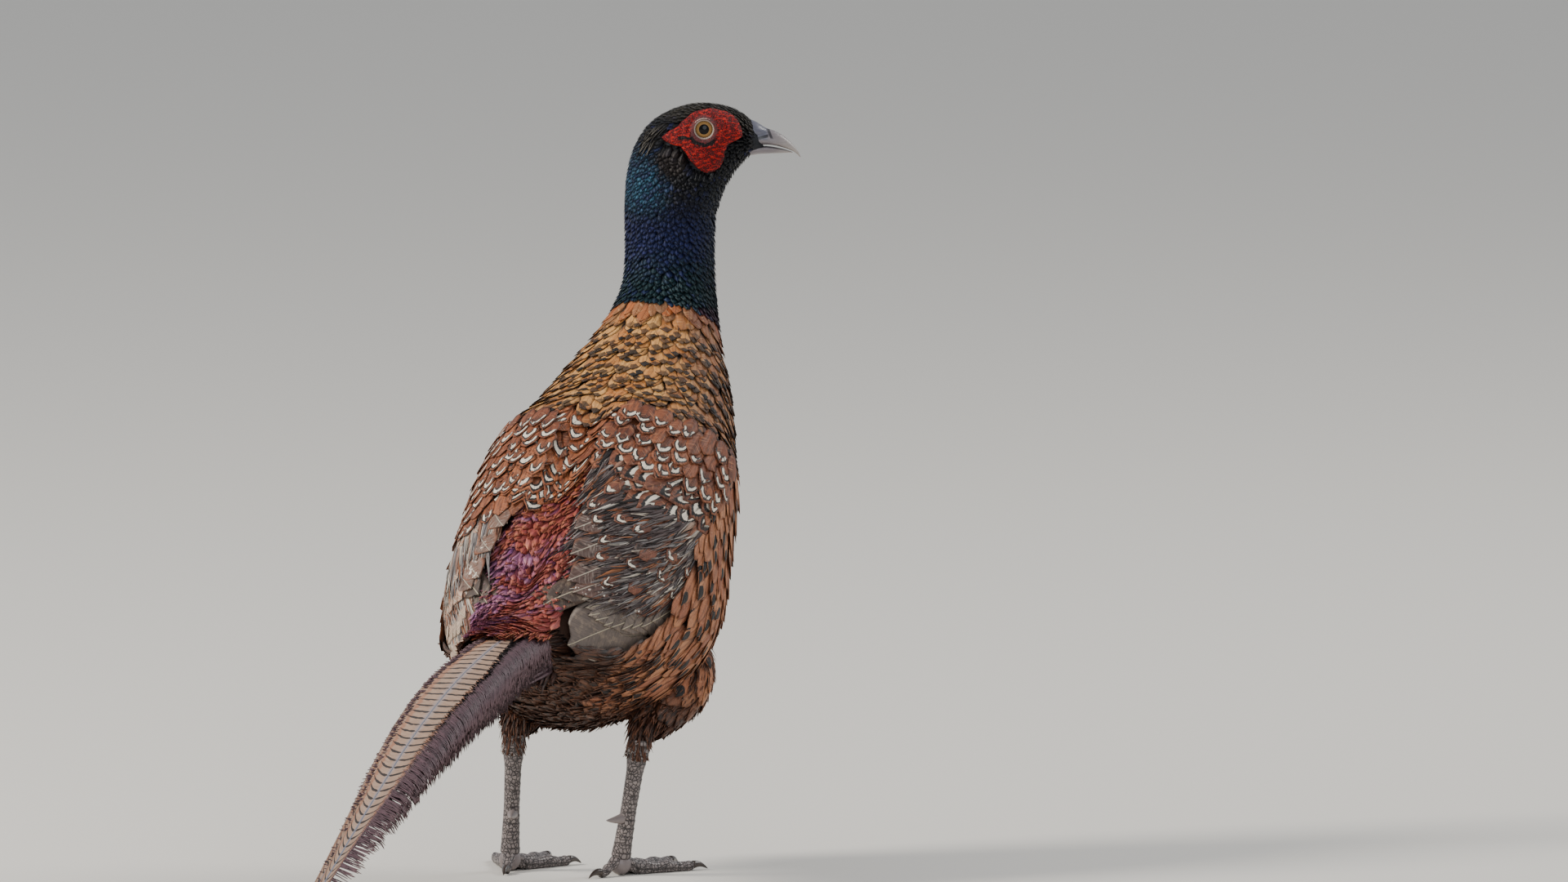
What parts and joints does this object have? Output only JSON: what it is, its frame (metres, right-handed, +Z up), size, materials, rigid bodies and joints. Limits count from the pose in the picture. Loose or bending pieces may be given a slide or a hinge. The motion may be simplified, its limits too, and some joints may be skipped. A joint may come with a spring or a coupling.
{
  "type": "common pheasant",
  "caption": "Life-size still model of a cock common pheasant standing alert, head turned to its right and long tail sloping down behind.",
  "frame": {"origin": "on the floor under the middle of the whole bird's box", "axes": "+Y is the way the body faces, +X is its right side, +Z is up; the bill points to its right"},
  "size_m": [0.1426, 0.6238, 0.3584],
  "materials": {
    "body_plumage": "soft",
    "neck_plumage": "iridescent",
    "head_plumage": "iridescent",
    "wing_plumage": "soft",
    "tail_plumage": "soft",
    "dark_plumage": "soft",
    "face_skin": "matte",
    "bill": "satin horn",
    "eye": "wet",
    "leg_skin": "scaly",
    "claw": "satin horn"
  },
  "bodies": {
    "root": {"torso": "body_plumage", "neck": "neck_plumage", "head": "head_plumage", "bill_upper": "bill", "bill_lower": "bill", "eye_left": "eye", "eye_right": "eye", "wattle_left": "face_skin", "wattle_right": "face_skin", "wing_left": "wing_plumage", "wing_right": "wing_plumage", "tail": "tail_plumage", "thigh_left": "dark_plumage", "thigh_right": "dark_plumage", "shank_left": "leg_skin", "shank_right": "leg_skin", "foot_left": "leg_skin", "foot_right": "leg_skin", "claw_left_inner": "claw", "claw_left_middle": "claw", "claw_left_outer": "claw", "claw_left_hind": "claw", "claw_right_inner": "claw", "claw_right_middle": "claw", "claw_right_outer": "claw", "claw_right_hind": "claw"}
  },
  "joints": []
}
